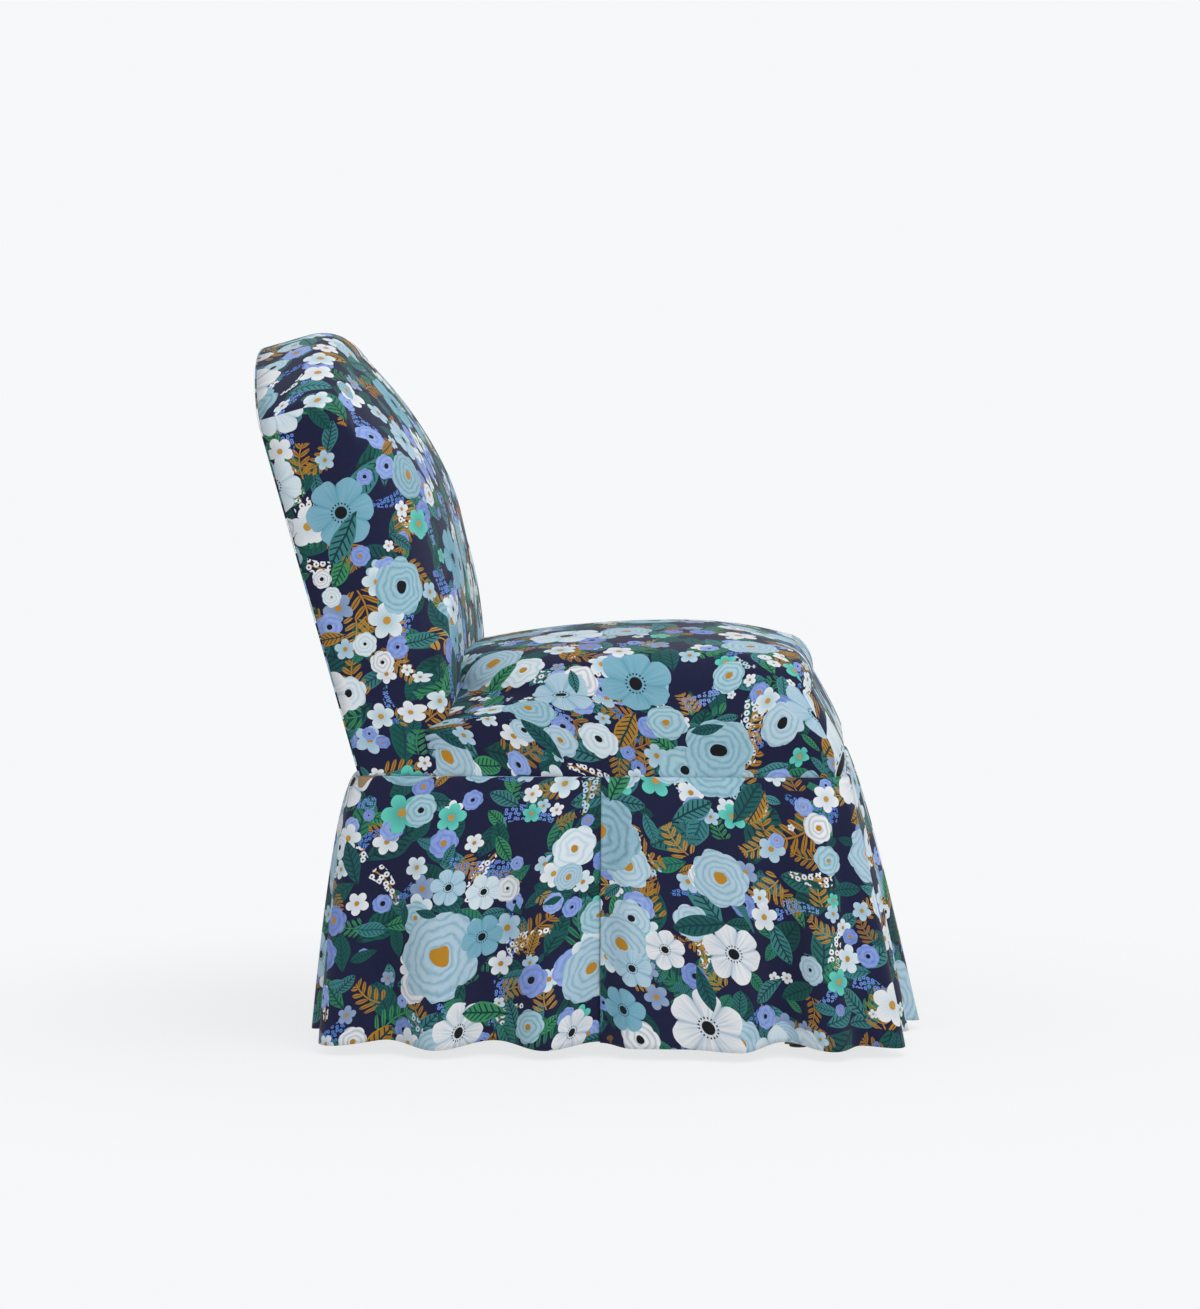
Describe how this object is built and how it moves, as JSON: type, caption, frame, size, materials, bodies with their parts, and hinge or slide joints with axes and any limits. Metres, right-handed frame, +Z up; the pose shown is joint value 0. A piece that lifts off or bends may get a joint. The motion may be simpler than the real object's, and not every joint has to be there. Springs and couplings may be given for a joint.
{
  "type": "skirted slipper chair",
  "caption": "Armless slipper chair with a raked arched back, a crowned tight seat and a gathered skirt to the floor.",
  "frame": {"origin": "on the floor, in the middle of the overall box", "axes": "+Z up, -Y towards the front of the seat, +X to the sitter's left"},
  "size_m": [0.66, 0.7976, 0.8397],
  "materials": {
    "print_cloth": "printed cotton and linen canvas",
    "seat_foam": "cut polyurethane foam",
    "hessian": "loose woven hessian",
    "fibre_wadding": "bonded polyester wadding",
    "jute_webbing": "woven jute",
    "zinc_steel": "zinc plated",
    "dust_cloth": "non-woven dust cloth",
    "beech": "planed hardwood",
    "glide_plastic": "moulded nylon",
    "felt_pad": "needled felt",
    "spring_steel": "drawn spring wire",
    "lining_cotton": "plain cotton lining",
    "tack_card": "card strip"
  },
  "bodies": {
    "root": {"back_cover": "print_cloth", "back_foam": "seat_foam", "back_hessian": "hessian", "back_wadding": "fibre_wadding", "back_webbing_across": "jute_webbing", "back_webbing_up": "jute_webbing", "cross_rail_screws": "zinc_steel", "dust_cover": "dust_cloth", "front_left_corner_block": "beech", "front_left_glide": "glide_plastic", "front_left_leg": "beech", "front_left_leg_plate": "zinc_steel", "front_rail": "beech", "front_right_corner_block": "beech", "front_right_glide": "glide_plastic", "front_right_leg": "beech", "front_right_leg_plate": "zinc_steel", "left_back_post": "beech", "left_rail": "beech", "leg_hanger_bolts": "zinc_steel", "leg_plate_screws": "zinc_steel", "lower_cross_rail": "beech", "middle_cross_rail": "beech", "outside_back_panel": "print_cloth", "post_bolts": "zinc_steel", "rear_left_corner_block": "beech", "rear_left_glide": "glide_plastic", "rear_left_leg": "beech", "rear_left_leg_plate": "zinc_steel", "rear_rail": "beech", "rear_right_corner_block": "beech", "rear_right_glide": "glide_plastic", "rear_right_leg": "beech", "rear_right_leg_plate": "zinc_steel", "right_back_post": "beech", "right_rail": "beech", "seat_cover": "print_cloth", "seat_foam": "seat_foam", "seat_insulator": "felt_pad", "seat_spring_1": "spring_steel", "seat_spring_2": "spring_steel", "seat_spring_3": "spring_steel", "seat_spring_4": "spring_steel", "seat_spring_5": "spring_steel", "seat_wadding": "fibre_wadding", "skirt_front_left": "print_cloth", "skirt_front_right": "print_cloth", "skirt_lining": "lining_cotton", "skirt_rear_left": "print_cloth", "skirt_rear_right": "print_cloth", "skirt_tack_strip": "tack_card", "spring_clips": "zinc_steel", "top_rail": "beech", "top_rail_dowels": "beech"}
  },
  "joints": []
}
